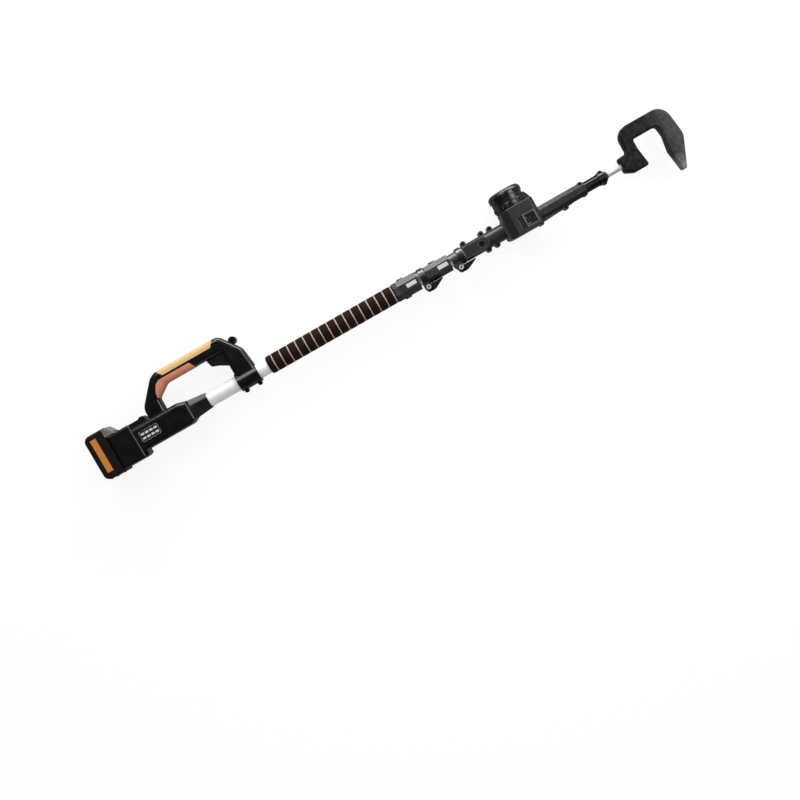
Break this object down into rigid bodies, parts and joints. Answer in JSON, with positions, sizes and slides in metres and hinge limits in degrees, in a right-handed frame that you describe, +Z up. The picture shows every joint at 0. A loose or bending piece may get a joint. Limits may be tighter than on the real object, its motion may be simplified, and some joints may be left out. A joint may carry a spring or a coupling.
{
  "type": "cordless branch shaker",
  "caption": "Cordless branch shaker: slide-on battery, handle with hand loop and trigger, telescopic pole with cam clamps, and a motor head that drives a hook back and forth.",
  "frame": {"origin": "on the pole's axis, in the flat rear face of the battery", "axes": "+X forward along the pole to the hook, +Y to the hand loop's side, +Z across the tool; the tool lies on its side with +Z up"},
  "size_m": [1.4346, 0.1852, 0.0764],
  "materials": {
    "case_black": "fine-grained, near black",
    "cover_grey": "light grey, fine-grained",
    "label_orange": "printed film, blank",
    "cell_metal": "sleeved cells",
    "contact_metal": "sprung brass",
    "spring_steel": "wire",
    "handle_black": "fine-grained, near black",
    "soft_tan": "soft overmould",
    "soft_salmon": "soft overmould",
    "panel_grey": "satin",
    "screw_steel": "zinc plated",
    "board_green": "varnished board",
    "trigger_grey": "satin",
    "tube_silver": "anodised",
    "guide_plastic": "natural",
    "foam": "closed-cell foam",
    "ring_pink": "soft ring",
    "clamp_grey": "satin",
    "band_steel": "polished band",
    "badge_white": "blank plate",
    "lever_black": "satin",
    "head_grey": "satin",
    "motor_black": "satin",
    "iron": "laminated",
    "gear_steel": "ground",
    "rod_steel": "polished",
    "bronze": "oiled bronze",
    "seal_rubber": "lip seal",
    "hook_coat": "matte powder coat"
  },
  "bodies": {
    "handle": {"handle_shell_left": "handle_black", "handle_shell_right": "handle_black", "top_insert": "soft_tan", "finger_insert": "soft_salmon", "side_panels": "panel_grey", "handle_screws": "screw_steel", "neck_ferrule": "panel_grey", "terminal_block": "guide_plastic", "terminal_blades": "contact_metal", "control_board": "board_green", "trigger_pin": "gear_steel", "trigger_switch": "lever_black", "trigger_spring": "spring_steel", "outer_tube": "tube_silver", "foam_grip": "foam", "grip_rings": "ring_pink", "lower_clamp": "clamp_grey", "lower_clamp_band": "band_steel", "lower_clamp_badge": "badge_white", "lower_lever_pin": "screw_steel"},
    "battery": {"battery_case": "case_black", "battery_cover": "cover_grey", "battery_label": "label_orange", "cell_holder": "guide_plastic", "battery_cells": "cell_metal", "battery_contacts": "contact_metal", "battery_button_spring": "spring_steel"},
    "battery_button": {"battery_button": "trigger_grey"},
    "trigger": {"trigger": "trigger_grey"},
    "lower_lever": {"lower_lever": "lever_black"},
    "middle_section": {"middle_tube": "tube_silver", "middle_guide": "guide_plastic", "upper_clamp": "clamp_grey", "upper_clamp_band": "band_steel", "upper_clamp_badge": "badge_white", "upper_lever_pin": "screw_steel"},
    "upper_lever": {"upper_lever": "lever_black"},
    "head": {"inner_tube": "tube_silver", "inner_guide": "guide_plastic", "head_shell_left": "head_grey", "head_shell_right": "head_grey", "head_screws": "screw_steel", "socket_bolt": "screw_steel", "vent_grilles": "lever_black", "gear_plate": "head_grey", "motor_housing": "motor_black", "motor_cap": "motor_black", "motor_stator": "iron", "head_bearings": "gear_steel", "rod_bushes": "bronze", "rod_seal": "seal_rubber"},
    "crank": {"crank_gear": "gear_steel", "crank_sleeve": "bronze"},
    "rotor": {"motor_rotor": "iron", "motor_shaft": "gear_steel", "motor_fan": "guide_plastic"},
    "shaker": {"yoke": "gear_steel", "drive_rod": "rod_steel", "hook": "hook_coat", "hook_grub_screws": "screw_steel"}
  },
  "joints": [
    {"name": "battery_slide", "type": "slide", "parent": "handle", "child": "battery", "axis": [0, 1, 0], "range_m": [0, 0.1]},
    {"name": "battery_button_press", "type": "slide", "parent": "battery", "child": "battery_button", "axis": [-1, 0, 0], "range_m": [0, 0.0035], "stiffness_N_per_m": 1500, "springref_m": -0.002, "deforming": ["battery_button_spring"]},
    {"name": "trigger_squeeze", "type": "hinge", "parent": "handle", "child": "trigger", "pos_m": [0.3524, 0.0547, 0], "axis": [0, 0, -1], "range_deg": [0, 12], "stiffness_Nm_per_rad": 1.2, "springref_deg": -6.88, "deforming": ["trigger_spring"]},
    {"name": "lower_lever_flip", "type": "hinge", "parent": "handle", "child": "lower_lever", "pos_m": [0.7986, -0.0234, 0], "axis": [0, 0, -1], "range_deg": [0, 105]},
    {"name": "middle_extend", "type": "slide", "parent": "handle", "child": "middle_section", "axis": [1, 0, 0], "range_m": [0, 0.4]},
    {"name": "upper_lever_flip", "type": "hinge", "parent": "middle_section", "child": "upper_lever", "pos_m": [0.88, -0.0214, 0], "axis": [0, 0, -1], "range_deg": [0, 105]},
    {"name": "head_extend", "type": "slide", "parent": "middle_section", "child": "head", "axis": [1, 0, 0], "range_m": [0, 0.4]},
    {"name": "crank_turn", "type": "hinge", "parent": "head", "child": "crank", "pos_m": [1.0559, 0, 0], "axis": [0, 1, 0], "range_deg": [-91, 91]},
    {"name": "rotor_turn", "type": "hinge", "parent": "head", "child": "rotor", "pos_m": [1.0375, 0, 0], "axis": [0, 1, 0], "range_deg": [-330, 330]},
    {"name": "shaker_stroke", "type": "slide", "parent": "head", "child": "shaker", "axis": [1, 0, 0], "range_m": [-0.009, 0.009]}
  ],
  "couplings": [
    {"joint": "crank_turn", "follows": "shaker_stroke", "rad_per_m": 174.53},
    {"joint": "rotor_turn", "follows": "shaker_stroke", "rad_per_m": -628.32}
  ]
}
